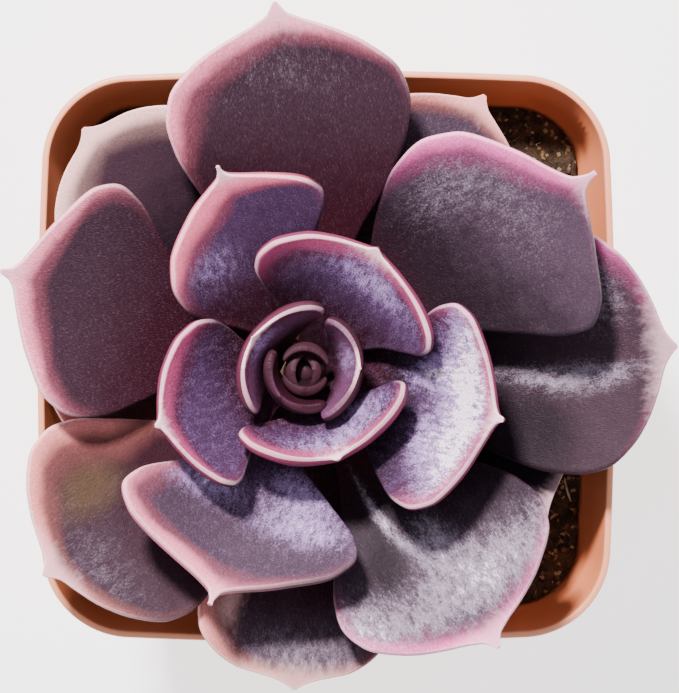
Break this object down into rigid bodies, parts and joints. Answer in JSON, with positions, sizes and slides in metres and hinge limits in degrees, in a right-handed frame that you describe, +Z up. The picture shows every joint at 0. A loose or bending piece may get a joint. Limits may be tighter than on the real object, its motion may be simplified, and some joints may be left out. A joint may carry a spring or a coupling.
{
  "type": "potted echeveria",
  "caption": "Rosette succulent with thick cupped leaves that end in small points, on a short stem in dark soil, in a square tapered plastic nursery pot with a collar and a drained base.",
  "frame": {"origin": "middle of the pot's underside, on the flat pad that rests on the table", "axes": "+Z up; the pot's four sides face +X, -X, +Y and -Y, and the picture looks straight down with +X to its right and +Y to its top"},
  "size_m": [0.1146, 0.1169, 0.115],
  "materials": {
    "pot_plastic": "injection-moulded terracotta-coloured plastic, smooth satin",
    "potting_soil": "dark moist peat with fibres, bark crumbs and pale perlite grains",
    "stem_bark": "woody, ringed by old leaf scars",
    "leaf_young": "fleshy violet leaf with waxy pale bloom and pink margin",
    "leaf_old": "fleshy grey-violet leaf with waxy bloom and cream-pink margin"
  },
  "bodies": {
    "root": {"pot": "pot_plastic", "soil": "potting_soil", "stem": "stem_bark", "heart": "leaf_young", "leaf_01": "leaf_old", "leaf_02": "leaf_old", "leaf_03": "leaf_old", "leaf_04": "leaf_old", "leaf_05": "leaf_old", "leaf_06": "leaf_old", "leaf_07": "leaf_old", "leaf_08": "leaf_young", "leaf_09": "leaf_young", "leaf_10": "leaf_young", "leaf_11": "leaf_young", "leaf_12": "leaf_young", "leaf_13": "leaf_young", "leaf_14": "leaf_young", "leaf_15": "leaf_young", "leaf_16": "leaf_young", "leaf_17": "leaf_young", "leaf_18": "leaf_young", "leaf_19": "leaf_young", "leaf_20": "leaf_young"}
  },
  "joints": []
}
